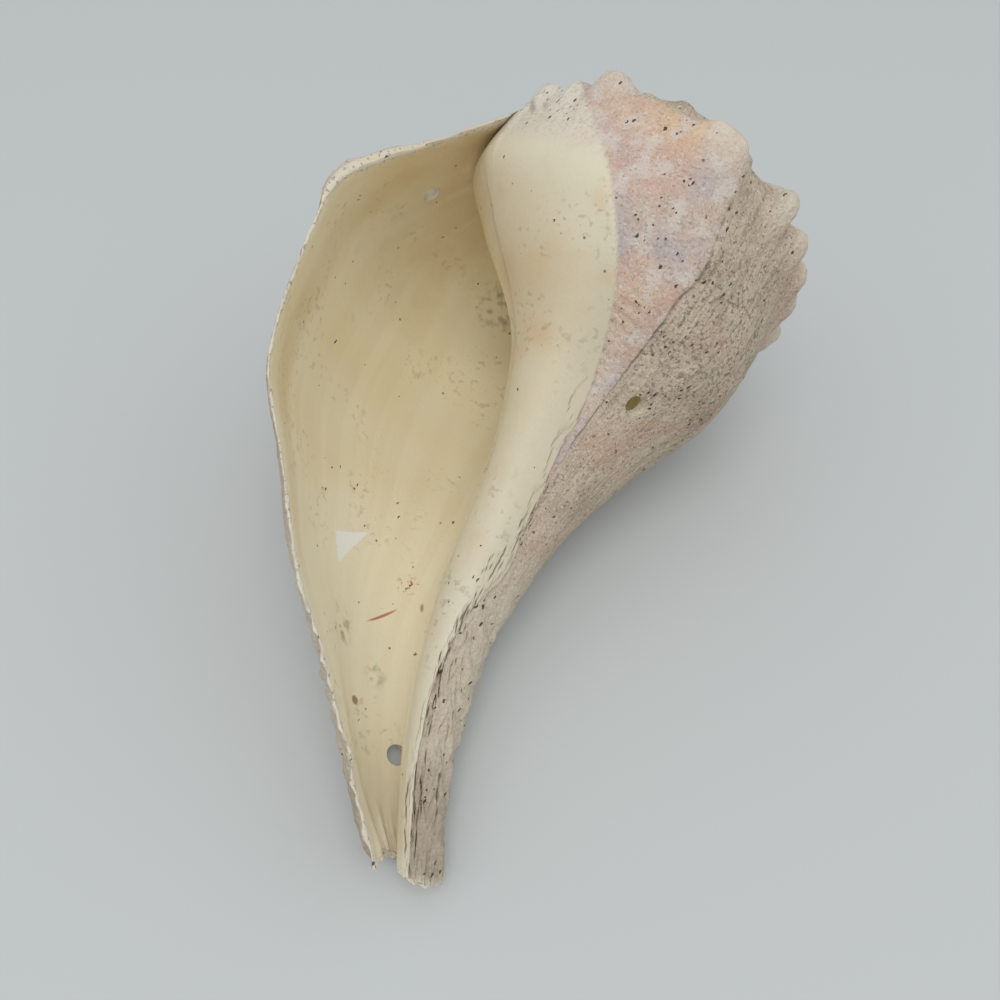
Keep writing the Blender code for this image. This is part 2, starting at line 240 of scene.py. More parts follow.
def knob_height(angle, place):
    """Height of the shoulder knobs at a point of the outside."""
    degrees = np.degrees(angle)
    total = np.zeros(np.broadcast(angle, place).shape)
    last_turn = [(at, height, width, 1.0) for at, height, width in KNOBS]
    first = KNOBS[0][0] - SPIRE_KNOB_STEP
    spire = []
    for i in range(int(SPIRE_TURNS * 360 / SPIRE_KNOB_STEP)):
        at = first - i * SPIRE_KNOB_STEP
        spire.append((at, SPIRE_KNOB_HEIGHT * float(spire_scale(math.radians(at))), SPIRE_KNOB_WIDTH, 0.0))
    for at, height, width, tail in last_turn + spire:
        round_part = ease(KNOB_PLATEAU * (1 - np.abs(degrees - at) / width))
        above = ease(1 - (KNOB_PLACE - place) / KNOB_RISE)
        below = ease(1 - (place - KNOB_PLACE) / (KNOB_FALL + KNOB_TAIL * width * tail))
        total = total + height * round_part * np.where(place < KNOB_PLACE, above, below)
    seam_free = np.where(angle < -TURN + 0.1, ease(1 - (place - KNOB_PLACE) / 0.044), 1.0)
    grown = ease((angle / TURN + SPIRE_TURNS - 0.1) / 0.3)
    return total * grown * np.where(place < KNOB_PLACE, 1.0, seam_free)


def glaze_cover(angle, share, place):
    """How far the glaze and its loose layer cover a point, and how near their brims are."""
    degrees = np.degrees(angle)
    loose = ease((share - 0.3) / 0.1)
    ragged = loose * (2.2 * wobble(share * 46, 3) + 1.1 * wobble(share * 130, 4))
    ragged = ragged + 0.5 * wobble(share * 30, 5)
    edge = GLAZE_EDGE(share) + ragged
    cover = ease((edge - degrees) / GLAZE_BRIM) * ease((place - 0.2) / 0.06)
    inner_edge = edge - LAYER_BACK - 4 * wobble(share * 38, 6) - 2 * wobble(share * 110, 7)
    layer = ease((inner_edge - degrees) / LAYER_BRIM)
    brim = 4 * np.maximum(cover * (1 - cover), layer * (1 - layer)) * ease((share - 0.28) / 0.1)
    return cover, layer * loose, brim


def crack_share(angle, share):
    """How far a point lies in one of the long cracks that run down the canal."""
    degrees = np.degrees(angle)
    total = np.zeros(np.broadcast(angle, share).shape)
    for number, (start, end, first, last, half_width) in enumerate(CRACKS):
        path = start + (end - start) * (share - first) / (last - first)
        path = path + 6 * wobble(share * 36, 40 + number) + 4 * wobble(share * 95, 60 + number)
        path = path + 2 * wobble(share * 240, 100 + number)
        ends = ease((share - first) / 0.03) * ease((last - share) / 0.03)
        broken = ease(0.9 + 2.6 * wobble(share * 60, 80 + number))
        total = np.maximum(total, ease(1.4 - np.abs(degrees - path) / half_width) * ends * broken)
    return total


def rib_share(angle, share):
    """Fine ribs along the spiral beside the glaze."""
    degrees = np.degrees(angle)
    near = ease((degrees - RIB_START) / 8) * ease((OLD_LIP_ANGLE - 2 - degrees) / 8)
    near = near * ease((share - 0.17) / 0.07) * ease((0.42 - share) / 0.08)
    ripple = 0.5 + 0.5 * np.sin(TURN * (share * RIB_REACH / RIB_PITCH + 0.35 * wobble(degrees / 6, 50)))
    return near * ripple


def behind_old_lip(degrees, share):
    """Degrees past the old lip's wavering line."""
    return degrees - OLD_LIP_ANGLE - 1.2 * wobble(share * 18, 8) - 0.5 * wobble(share * 60, 13)


def outer_relief(angle, place, share):
    """Height of glaze, old lip, growth lines, ribs and cracks over the bare outside."""
    degrees = np.degrees(angle)
    cover, layer, _ = glaze_cover(angle, share, place)
    body = ease((place - 0.3) / 0.06)
    behind = behind_old_lip(degrees, share)
    old_lip = OLD_LIP_STEP * ease(1 + behind / 14) * ease(-behind / 0.9 + 0.5)
    groove = -OLD_LIP_GROOVE * np.exp(-((behind - 0.6) / 0.6) ** 2)
    old_lip = (old_lip + groove) * body * ease((0.5 - share) / 0.16)
    warped = degrees + 1.5 * wobble(place * 22, 9)
    lines = 0.5 * wobble(warped / 4.5, 10) + 0.35 * wobble(warped / 2.1, 11) + 0.3 * wobble(warped / 11, 12)
    lines = GROWTH_LINE * lines * body * (1 - cover) * (1.2 - 0.8 * share)
    ribs = RIB_HEIGHT * rib_share(angle, share)
    broad = wobble(share * 32 + 3 * wobble(degrees / 25, 16), 17)
    small = 0.7 * wobble(share * 75 + 2 * wobble(degrees / 14, 18), 19)
    lumps = CANAL_LUMPS * (broad + small) * ease((share - 0.5) / 0.2)
    low = CRACK_DEPTH * crack_share(angle, share)
    return GLAZE_THICK * cover + GLAZE_LAYER * layer + (old_lip + lines + ribs + lumps) * (1 - cover) - low


# The shell: wall, hollow and worn rim
# The wall is about 4 mm of shell, thinner at the lip. The lip is knocked and chipped all along,
# most of all where it runs into the canal, and the canal's end is broken off short at its floor.
WALL = 3.7
LIP_WALL = 2.4
EDGE_WALL = 0.9
LIP_TAPER = math.radians(24)
EDGE_TAPER = math.radians(8)
HOLLOW_TURNS = 1.5
CANAL_OPEN_TURNS = 0.29
HOLLOW_REACH = smooth_curve((
    (0, 1.0), (0.3, 1.0), (0.5, 0.94), (0.75, 0.74), (1, 0.46), (1.25, 0.27), (1.7, 0.17)
))
LIP_CHIPS = (
    (0.41, 1.0, 0.012), (0.52, 0.9, 0.01), (0.6, 1.1, 0.008), (0.665, 1.2, 0.01), (0.72, 0.9, 0.006),
    (0.775, 2.4, 0.014), (0.83, 1.6, 0.01), (0.872, 1.0, 0.006), (0.9, -1.6, 0.012), (0.925, 1.4, 0.01),
    (0.952, 1.2, 0.008), (0.978, 0.8, 0.006),
)
LIP_RAGGED = 0.75
CHIP_DEPTH_TURNS = 0.05
TUCK_DEPTH = 4.0
TUCK_ANGLE = math.radians(-32)
TUCK_WIDTH = math.radians(26)
TIP_LOSS = smooth_curve(((-360, 0), (-300, 0), (-220, 1), (-160, 1.5), (-120, 1.5), (-60, 1), (0, 0.5)))
TIP_LOSS_START = 0.93
TIP_LENGTH = 190.0
SHOULDER_ROUNDING = 70
FILLET_REACH = 16.0
FILLET_DEPTH = 4.5


def lip_setback(angle, place):
    """Turn by which chips move the lip back at a place."""
    loss = wobble(place * 60, 20) + 0.6 * wobble(place * 150, 21) + 0.4 * wobble(place * 290, 22)
    loss = LIP_RAGGED * loss
    for at, depth, half_width in LIP_CHIPS:
        loss = loss + depth * np.exp(-((place - at) / half_width) ** 2)
    loss = loss * ease((place - 0.02) / 0.06)
    radius, _, _ = outside_point(np.zeros(1), place)
    near = np.clip(1 + angle / (CHIP_DEPTH_TURNS * TURN), 0, 1) ** 2
    return -loss / radius * near


def tip_loss(angle, place):
    """Length that the broken canal end is short by."""
    degrees = np.clip(np.degrees(angle), -360, 0)
    ragged = 0.9 * wobble(degrees / 11, 23) + 0.6 * wobble(degrees / 4, 24)
    loss = TIP_LOSS(degrees) + ragged * ease((degrees + 352) / 20)
    return loss * ease((place - TIP_LOSS_START) / (1 - TIP_LOSS_START)) ** 1.5


def canal_tuck(angle, share):
    """How far the wall is drawn in below the canal's lip, so that the lip flares."""
    return TUCK_DEPTH * np.exp(-((angle - TUCK_ANGLE) / TUCK_WIDTH) ** 2) * ease((share - 0.58) / 0.14)


def shell_outside(angle, place):
    """Radius, height, angle and share of the finished outside."""
    angle, place = np.broadcast_arrays(np.asarray(angle, float), np.asarray(place, float))
    here = angle + lip_setback(angle, place)
    radius, height, share = outside_point(here, place)
    out_r, out_z = outward(here, place)
    knob = knob_height(here, place)
    relief = outer_relief(here, place, share)
    height = height + out_z * relief + KNOB_LIFT * knob + tip_loss(here, place)
    radius = radius + out_r * relief + knob - canal_tuck(here, share)
    if radius.shape[1] > BODY_ROWS:
        soft = 0.5 * ease((place - 0.12) / 0.08) * ease((0.42 - place) / 0.12)
        soft = (soft * (0.1 + 0.2 * ease(1 + angle / 0.5)) * ease((angle + TURN) / 0.6))[:, 1:-1]
        for _ in range(SHOULDER_ROUNDING):
            radius[:, 1:-1] += soft * ((radius[:, :-2] + radius[:, 2:]) / 2 - radius[:, 1:-1])
            height[:, 1:-1] += soft * ((height[:, :-2] + height[:, 2:]) / 2 - height[:, 1:-1])
    return radius, height, here, share


def wall_thickness(angle, share):
    thin = EDGE_WALL + (LIP_WALL - EDGE_WALL) * np.sqrt(np.clip(-angle / EDGE_TAPER, 0, 1))
    thin = thin + (WALL - LIP_WALL) * ease(-angle / LIP_TAPER)
    return thin * (1 - 0.25 * share) * spire_scale(angle)


def hollow_top(angle):
    """Share on the turn before, below its seam, where the hollow's roof meets it."""
    seam_r, seam_z = body_point(angle - TURN, SEAM_SHARE)
    edge_r, edge_z = body_point(angle, 0.0)
    length = math.hypot(edge_r - seam_r, edge_z - seam_z)
    down_r, down_z = (edge_z - seam_z) / length, -(edge_r - seam_r) / length
    needed = float(wall_thickness(angle, 0.0)) * 1.15
    shares = np.linspace(SEAM_SHARE + 0.01, 0.3, 117)
    r, z = body_point(angle - TURN, shares)
    deep = (r - seam_r) * down_r + (z - seam_z) * down_z > needed
    return float(shares[np.argmax(deep)]) if deep.any() else 0.3


def lining_section(here, place, angle, top_share, corner_row):
    """Radius and height of one section of the lining, rounded inside the shoulder."""
    radius, height, share = outside_point(here, place)
    out_r, out_z = outward(here, place)
    wall = wall_thickness(here, share)
    radius, height = radius - out_r * wall, height - out_z * wall + tip_loss(here, place)
    radius = radius - canal_tuck(here, share)
    top_r, top_z = (float(v) for v in body_point(angle - TURN, top_share))
    rise = place[:corner_row - 1] / RAMP_SPAN
    radius[:corner_row - 1] = top_r + (radius[corner_row - 1] - top_r) * rise
    height[:corner_row - 1] = top_z + (height[corner_row - 1] - top_z) * rise
    deep = float(ease(-angle / 0.3))
    soft = 0.5 * ease((place - 0.12) / 0.08) * ease((0.42 - place) / 0.12) * 0.3 * (1 - deep)
    soft = soft + 0.5 * ease((place - 0.03) / 0.12) * ease((0.55 - place) / 0.2) * deep
    for _ in range(SHOULDER_ROUNDING):
        radius[1:-1] += soft[1:-1] * ((radius[:-2] + radius[2:]) / 2 - radius[1:-1])
        height[1:-1] += soft[1:-1] * ((height[:-2] + height[2:]) / 2 - height[1:-1])
    return radius, height


def fill_corner(roof, pillar, depth):
    """Move two rows of points that meet at a corner so that they meet in a soft hollow."""
    away = [np.linalg.norm(row - roof[0], axis=1) for row in (roof, pillar)]
    ways = [row[np.argmax(far > FILLET_REACH * 0.6)] - roof[0] for row, far in zip((roof, pillar), away)]
    middle = sum(way / np.linalg.norm(way) for way in ways)
    for row, far in zip((roof, pillar), away):
        row += (depth * np.clip(1 - far / FILLET_REACH, 0, 1) ** 2)[:, None] * middle / 2


# The shell: its mesh
# One closed skin: outside, rounded lip face, lining, the turn before, and the broken canal end.
# Every face corner keeps its growth place, and how far it is inside, glazed, at the edge, chalky,
# a worn crest, cracked and ribbed. The crack mark also holds painted shade along the glaze's
# ledges and beside the old lip's step. The finish reads them.
STEPS_PER_TURN = 600
RAMP_ROWS = 15
BODY_ROWS = 150
RIM_ROWS = 4
RIM_SHARE = 0.03
MARKS = 10
OPEN_STEPS = int(CANAL_OPEN_TURNS * STEPS_PER_TURN)
MOST_TRIANGLES = 190000


class ShellSkin:
    """Points and faces of the shell, with MARKS values at each face corner."""

    def __init__(self):
        self.points = []
        self.count = 0
        self.quads = []
        self.quad_marks = []
        self.loose = []

    def add_points(self, points):
        points = np.asarray(points).reshape(-1, 3)
        self.points.append(points)
        self.count += len(points)
        return np.arange(self.count - len(points), self.count)

    def add_sheet(self, ids, marks):
        """Quads over a grid of points."""
        corners = [(slice(0, -1), slice(0, -1)), (slice(1, None), slice(0, -1))]
        corners += [(slice(1, None), slice(1, None)), (slice(0, -1), slice(1, None))]
        self.quads.append(np.stack([ids[c] for c in corners], -1).reshape(-1, 4))
        self.quad_marks.append(np.stack([marks[c] for c in corners], -2).reshape(-1, 4, MARKS))

    def add_zip(self, one, other, marks):
        """Triangles between two rows that may differ in length."""
        i = j = 0
        while i < len(one) - 1 or j < len(other) - 1:
            ahead = (i + 1) * (len(other) - 1) <= (j + 1) * (len(one) - 1)
            if j == len(other) - 1 or (ahead and i < len(one) - 1):
                ring = [one[i], one[i + 1], other[j]]
                i += 1
            else:
                ring = [one[i], other[j + 1], other[j]]
                j += 1
            if len(set(ring)) == 3:
                self.loose.append((ring, marks))


def corner_marks(angle, place, inside=0.0, glaze=0.0, edge=0.0, chalky=0.0, crest=0.0, crack_and_step_shade=0.0, ribs=0.0):
    """Growth place in two columns, then skin shares in four and wear shares in four."""
    columns = (angle / TURN, place, inside, glaze, edge, chalky, crest, crack_and_step_shade, ribs, 1.0)
    shape = np.broadcast(angle, place).shape
    return np.stack([np.broadcast_to(column, shape) for column in columns], -1)


def outside_marks(angle, place, glazed):
    """Marks of the outside: glaze, chalky edge, worn crests, cracks with painted shade beside steps, and
    ribs.
    """
    share = np.clip((place - RAMP_SPAN) / (1 - RAMP_SPAN), 0, 1)
    radius, _, _ = outside_point(angle, place)
    cover, layer, brim = glaze_cover(angle, share, place)
    from_lip = -angle * radius
    edge = ease(1 - (from_lip - 0.3) / (1.3 + 0.9 * wobble(place * 70, 30)))
    edge = np.maximum(edge, ease(1 - (1 - place) * TIP_LENGTH / 2.0) * (place > 0.9))
    crest = ease(knob_height(angle, place) / 6)
    crack_and_step_shade = crack_share(angle, share)
    # The dark mark along the glaze's loose ledges and beside the old lip's step is painted shade of those
    # steps, joined to the cracks.
    brim = brim * ease(0.7 + 1.8 * wobble(share * 90, 14))
    beside = np.exp(-((behind_old_lip(np.degrees(angle), share) - 0.5) / 0.55) ** 2) * (place > 0.3)
    beside = beside * ease(0.7 + 1.8 * wobble(share * 110, 15)) * ease((0.46 - share) / 0.08)
    crack_and_step_shade = np.maximum(crack_and_step_shade, np.maximum(0.9 * brim, 0.9 * beside))
    shiny = cover * glazed * ease((place - 0.28) / 0.07)
    chalky = cover * glazed - shiny
    return corner_marks(angle, place, 0.0, shiny, edge, chalky, crest, crack_and_step_shade, rib_share(angle, share))


def build_skin():
    """The closed shell as points, faces and corner marks, in millimetres."""
    skin = ShellSkin()
    step = TURN / STEPS_PER_TURN
    body_shares = np.concatenate([
        np.linspace(0, SEAM_SHARE, 6)[:-1],
        np.linspace(SEAM_SHARE, SEAM_SHARE + RIM_SHARE, RIM_ROWS + 1)[:-1],
        np.linspace(SEAM_SHARE + RIM_SHARE, 1, BODY_ROWS),
    ])
    ramp = np.linspace(0, 1, RAMP_ROWS + 1)[:-1] * RAMP_SPAN
    places = np.concatenate([ramp, RAMP_SPAN + body_shares * (1 - RAMP_SPAN)])
    corner_row = RAMP_ROWS
    seam_row = corner_row + 5
    top_row = seam_row + RIM_ROWS
    last_row = len(places) - 1
    total = SPIRE_TURNS * STEPS_PER_TURN
    start_last = total - STEPS_PER_TURN
    angles = (np.arange(total + 1) - total) * step

    # Outside, from the apex to the lip. The first turn starts as a fan about the apex
    ids = np.full((total + 1, last_row + 1), -1)
    apex = skin.add_points(place_in_world(np.zeros(1), np.array([APEX_RISE]), np.zeros(1), np.zeros(1)))[0]
    for first, last, rows in ((0, start_last, seam_row + 1), (start_last, total + 1, last_row + 1)):
        radius, height, here, share = shell_outside(angles[first:last, None], places[None, 1:rows])
        points = place_in_world(radius, height, here, share)
        ids[first:last, 1:rows] = skin.add_points(points).reshape(last - first, rows - 1)
    ids[:STEPS_PER_TURN, 0] = apex
    ids[STEPS_PER_TURN:, 0] = ids[:total + 1 - STEPS_PER_TURN, seam_row]
    spire_marks = outside_marks(angles[:start_last + 1, None], places[None, :seam_row + 1], 0.0)
    skin.add_sheet(ids[:STEPS_PER_TURN + 1, 1:seam_row + 1], spire_marks[:STEPS_PER_TURN + 1, 1:])
    skin.add_sheet(ids[STEPS_PER_TURN:start_last + 1, :seam_row + 1], spire_marks[STEPS_PER_TURN:])
    for k in range(STEPS_PER_TURN):
        ring = [apex, ids[k + 1, 1], ids[k, 1]]
        if k == STEPS_PER_TURN - 1:
            ring.insert(1, ids[k + 1, 0])
        skin.loose.append((ring, spire_marks[k, 0]))
    skin.add_sheet(ids[start_last:], outside_marks(angles[start_last:, None], places[None, :], 1.0))

    # Hollow: sections close together where it can be seen, wider apart further in
    depth = int(HOLLOW_TURNS * STEPS_PER_TURN)
    steps_in = list(range(0, OPEN_STEPS + 1))
    while steps_in[-1] < depth:
        steps_in.append(min(steps_in[-1] + (4 if steps_in[-1] < 0.75 * STEPS_PER_TURN else 10), depth))
    first_share = SEAM_SHARE + RIM_SHARE
    spread = (body_shares[top_row - corner_row:] - first_share) / (1 - first_share)
    lining = np.full((len(steps_in), last_row + 1), -1)
    inner = np.full((len(steps_in), last_row + 1), -1)
    floor = np.full(len(steps_in), -1)
    lining_marks = np.zeros((len(steps_in), last_row + 1, MARKS))
    inner_marks = np.zeros((len(steps_in), last_row + 1, MARKS))
    for k, back in enumerate(steps_in):
        angle = -back * step
        reach = float(HOLLOW_REACH(-angle / TURN))
        fade = float(ease(-angle / 0.5))
        top_share = first_share * (1 - fade) + max(hollow_top(angle), SEAM_SHARE + 0.03) * fade
        inner_share = top_share + spread * (reach - top_share)
        before = np.full(len(inner_share), angle - TURN)
        place = RAMP_SPAN + inner_share * (1 - RAMP_SPAN)
        radius, height, share = outside_point(before, place)
        cover, layer, _ = glaze_cover(before, share, place)
        radius = radius + GLAZE_THICK * cover + GLAZE_LAYER * layer
        pillar = place_in_world(radius, height + tip_loss(before, place), before, share)
        deep_in = float(ease((-angle - 0.05) / 0.35))
        tip_edge = ease((inner_share - 0.985) / 0.015)
        inner_marks[k, top_row:] = corner_marks(before, place, deep_in, 1.0, tip_edge)
        row_places = places[1:]
        share = np.clip((row_places - RAMP_SPAN) / (1 - RAMP_SPAN), 0, 1) * reach
        place = np.where(row_places < RAMP_SPAN, row_places, RAMP_SPAN + share * (1 - RAMP_SPAN))
        here = np.full(len(place), angle)
        here = here + lip_setback(here, place)
        radius, height = lining_section(here, place, angle, top_share, corner_row)
        _, _, share = outside_point(here, place)
        roof = np.concatenate([pillar[:1], place_in_world(radius, height, here, share)])
        fill_corner(roof, pillar, FILLET_DEPTH * float(ease(-angle / 0.35) * ease(angle / TURN / 0.3 + 3)))
        inner[k, top_row:] = skin.add_points(pillar) if k else ids[start_last, top_row:]
        lining[k, 0] = inner[k, top_row]
        lining[k, 1:] = skin.add_points(roof[1:])
        from_lip = -angle * radius
        edge = ease(1 - from_lip / (1.0 + 0.7 * wobble(place * 80, 31)))
        edge = np.maximum(edge, ease(1 - (1 - place) * TIP_LENGTH / 1.5) * (place > 0.9))
        lining_marks[k, 1:] = corner_marks(here, place, 1.0, 0.0, edge)
        lining_marks[k, 0] = lining_marks[k, 1]
        if back >= OPEN_STEPS:
            low = (roof[-1] + pillar[-1]) / 2
            floor[k] = skin.add_points(low)[0]
    for part in (slice(0, OPEN_STEPS + 1), slice(OPEN_STEPS, None)):
        skin.add_sheet(lining[part], lining_marks[part])
        skin.add_sheet(inner[part, top_row:], inner_marks[part, top_row:])
    deep = slice(OPEN_STEPS, None)
    middle = np.stack([lining[deep, last_row], floor[deep], inner[deep, last_row]], -1)
    skin.add_sheet(middle, np.stack([lining_marks[deep, last_row]] * 3, 1))
    ring = list(lining[-1]) + [floor[-1]] + list(inner[-1, :top_row:-1])
    skin.loose.append((ring, lining_marks[-1, -1]))

    # Lip face, rounded, from the outside to the lining
    all_points = np.concatenate(skin.points)
    lip_out = all_points[ids[total, 1:]]
    lip_in = all_points[lining[0, 1:]]
    ahead = lip_out - all_points[ids[total - 3, 1:]]
    ahead /= np.linalg.norm(ahead, axis=1)[:, None]
    thick = np.linalg.norm(lip_out - lip_in, axis=1)[:, None]
    face = np.full((RIM_ROWS + 1, last_row + 1), -1)
    face[0], face[-1] = ids[total], lining[0]
    for row in range(1, RIM_ROWS):
        t = row / RIM_ROWS
        points = lip_out * (1 - t) + lip_in * t + ahead * thick * 0.4 * math.sin(math.pi * t)
        face[row, 1:] = skin.add_points(points)
        face[row, 0] = ids[start_last, seam_row + row]
    skin.add_sheet(face, corner_marks(np.zeros((RIM_ROWS + 1, 1)), places[None, :], 0.5, 0.0, 1.0))

    # Broken canal end, from the outside to the canal's own edge
    all_points = np.concatenate(skin.points)
    outer_arc = ids[start_last:total + 1, last_row][::-1]
    inner_arc = np.concatenate([
        lining[:OPEN_STEPS + 1, last_row], floor[OPEN_STEPS:OPEN_STEPS + 1],
        inner[:OPEN_STEPS + 1, last_row][::-1]
    ])
    along = np.linspace(0, len(inner_arc) - 1, len(outer_arc))
    numbers = np.arange(len(inner_arc))
    inner_path = np.stack([np.interp(along, numbers, all_points[inner_arc, c]) for c in range(3)], -1)
    end_marks = corner_marks(np.zeros(1), np.ones(1), 0.5, 0.0, 1.0)[0]
    row_before = outer_arc
    for row in range(1, RIM_ROWS):
        t = row / RIM_ROWS
        points = all_points[outer_arc] * (1 - t) + inner_path * t
        new = skin.add_points(points[1:-1])
        new = np.concatenate([[face[row, last_row]], new, [outer_arc[-1]]])
        skin.add_zip(list(row_before), list(new), end_marks)
        row_before = new
    skin.add_zip(list(row_before), list(inner_arc), end_marks)
    skin.loose.append(([apex] + list(ids[0, 1:seam_row + 1]), spire_marks[0, 0]))
    return skin


def skin_mesh(skin, name):
    """The skin as a mesh with its growth map and its shares."""
    faces = np.concatenate(skin.quads)
    marks = [np.concatenate(skin.quad_marks).reshape(-1, MARKS)]
    marks += [np.tile(values, (len(ring), 1)) for ring, values in skin.loose]
    marks = np.concatenate(marks)
    mesh = bpy.data.meshes.new(name)
    points = np.concatenate(skin.points) * MM
    rings = faces.tolist() + [[int(v) for v in ring] for ring, _ in skin.loose]
    mesh.from_pydata(points.tolist(), [], rings)
    mesh.uv_layers.new(name="growth").data.foreach_set("uv", marks[:, :2].ravel())
    for attribute, first in (("skin", 2), ("wear", 6)):
        shares = mesh.attributes.new(attribute, "FLOAT_COLOR", "CORNER")
        shares.data.foreach_set("color", marks[:, first:first + 4].ravel())
    work = bmesh.new()
    work.from_mesh(mesh)
    bmesh.ops.recalc_face_normals(work, faces=work.faces)
    work.to_mesh(mesh)
    work.free()
    mesh.shade_smooth()
    return mesh


# The shell: its finish
# Old, sun-dried aragonite. Outside it is dull chalk, tan and speckled, with a lilac, pink and
# peach blush where the younger coat still holds. Inside it is cream porcelain, ochre towards the
# back, with small brown and grey stains, a few red scratches and a torn scrap of white paper.
def linear(code):
    """A hex colour turned to the linear values that a shader takes."""
    channels = [int(code[i:i + 2], 16) / 255 for i in (1, 3, 5)]
    return tuple(c / 12.92 if c <= 0.04045 else ((c + 0.055) / 1.055) ** 2.4 for c in channels) + (1.0,)


def add_node(tree, kind, inputs=None, out=0, **settings):
    """A node with its settings, its inputs set to a value or linked, and the output asked for."""
    node = tree.nodes.new(kind)
    for name, value in settings.items():
        setattr(node, name, value)
    for key, value in (inputs or {}).items():
        if isinstance(value, bpy.types.NodeSocket):
            tree.links.new(value, node.inputs[key])
        else:
            node.inputs[key].default_value = value
    return node if out is None or not node.outputs else node.outputs[out]


def painted(tree, colour, layers, masks):
    """The colour with layers painted over it, each by a strength and its masks."""
    for code, share, *names in layers:
        for name in names:
            share = add_node(tree, "ShaderNodeMath", {0: masks[name], 1: share}, operation="MULTIPLY")
        colour = add_node(tree, "ShaderNodeMix", {0: share, 6: colour, 7: linear(code)}, 2, data_type="RGBA")
    return colour


CORNER_SHARES = (("skin", ("inside", "glaze", "edge", "chalky")), ("wear", ("crest", "crack_and_step_shade", "ribs")))
# Each cloud: name, size in mm, detail, and the noise values where it starts and is full
CLOUDS = (
    ("dark cloud", 13.0, 2, 0.46, 0.66), ("pale cloud", 7.0, 3, 0.48, 0.64),
    ("salmon cloud", 22.0, 2, 0.5, 0.64), ("mottle", 1.4, 3, 0.52, 0.66),
    ("fine dark", 0.9, 2, 0.58, 0.68), ("fine pale", 0.8, 2, 0.56, 0.68), ("patch", 17.0, 1, 0.42, 0.6),
    ("lilac cloud", 11.0, 3, 0.42, 0.62), ("peach cloud", 15.0, 2, 0.5, 0.68),
    ("cream cloud", 34.0, 2, 0.38, 0.62), ("grime", 2.4, 2, 0.56, 0.68),
    ("grime patch", 24.0, 1, 0.5, 0.6), ("rim dirt", 1.3, 2, 0.6, 0.68),
    ("stain cloud", 3.2, 1, 0.42, 0.74),
)
STREAKS = (
    ("streak", (170, 13, 1), 3, 0.46, 0.6), ("dark streak", (260, 15, 1), 3, 0.5, 0.64),
    ("growth band", (46, 1.1, 1), 2, 0.44, 0.58),
)
CHALK_VEIN = (5.5, 3, 0.022)
TURN_RANGES = (
    ("before old lip", -0.736, -0.753), ("after glaze", -0.96, -0.93), ("glaze side", -0.87, -0.79),
    ("near lip", -0.068, -0.048), ("off lip", -0.02, -0.036),
)
PLACE_RANGES = (
    ("low", 0.5, 0.8), ("above canal", 0.66, 0.56), ("on body", 0.2, 0.26), ("tip end", 0.86, 0.96),
    ("canal", 0.6, 0.76),
)
PIT_SPACING = 1.8
PIT_LEAN = math.radians(55)
PIT_CLUSTER = 13.0
PIT_STRETCH = 2.3
PIT_DRIFT = 1.1
PIT_WIDTHS = (0.14, 0.11)
FLECK_SPACING = 6.5
ZONE_RAGGED = 5.0
GRIT_SIZE = 1.3
GRIT_DEPTH = 0.9
# Each zone: name, centre in mm, half widths in mm, and how ragged its edge is
ZONES = (
    ("orange", (44, 62, 124), (18, 9, 11), 0.9), ("pink", (27, 50, 121), (12, 9, 9), 0.8),
    ("crown", (13, 64, 127), (12, 14, 9), 0.8), ("salmon", (22, 18, 91), (13, 14, 13), 0.6),
    ("ochre back", (-30, 86, 76), (30, 34, 32), 0.6), ("ochre roof", (-40, 70, 106), (30, 26, 20), 0.6),
    # The fold zone is painted shade: a darker tan where the pillar's edge turns into the hollow.
    ("speckled", (50, 17, 78), (28, 24, 26), 0.6), ("fold shade", (-8, 40, 92), (14, 26, 20), 0.7),
    ("red specks", (-46.4, -23.7, 11.6), (3.4, 2.8, 3), 0.5),
    ("brown spot", (-59.8, -65.9, 15.7), (1.5, 1.3, 1.5), 0.3),
    ("brown nick", (-41.7, -30.7, 8.9), (0.5, 1.3, 0.7), 0.5),
    ("green stain", (-65, -45, 24), (4, 6, 5), 0.6),
    ("green stain low", (-54.9, -54.4, 10.8), (3.4, 4.4, 3), 0.6),
    ("dark stain", (-17, 92, 24), (7, 9, 10), 0.6), ("dark stain low", (-16, 60, 40), (7, 20, 16), 0.6),
    # Crease and crease right are thin dark lines of painted shade in the fold between the lip's inside and
    # the pillar, under the shell's top.
    ("riddled", (27, 32, 110), (9, 11, 9), 0.6), ("crease shade", (-6.4, 86, 113.5), (0.8, 4.5, 3.5), 0.9),
    ("crease shade right", (-2.8, 83, 117), (0.8, 4, 3), 0.9),
)
# The scratch from end to end, and three corners of the paper: where they meet, across and down
SCRATCH = ((-58.1, -39.1, 15.4), (-49.2, -32.2, 11.0))
SCRATCH_HALF_WIDTH = 0.45
SCRATCH_DEPTH = 3.0
PAPER = ((-67.5, -17.0, 33.6), (-59.4, -10.9, 23.5), (-67.6, -26.5, 31.2))
PAPER_DEPTH = 4.0
PAPER_TORN = 0.2
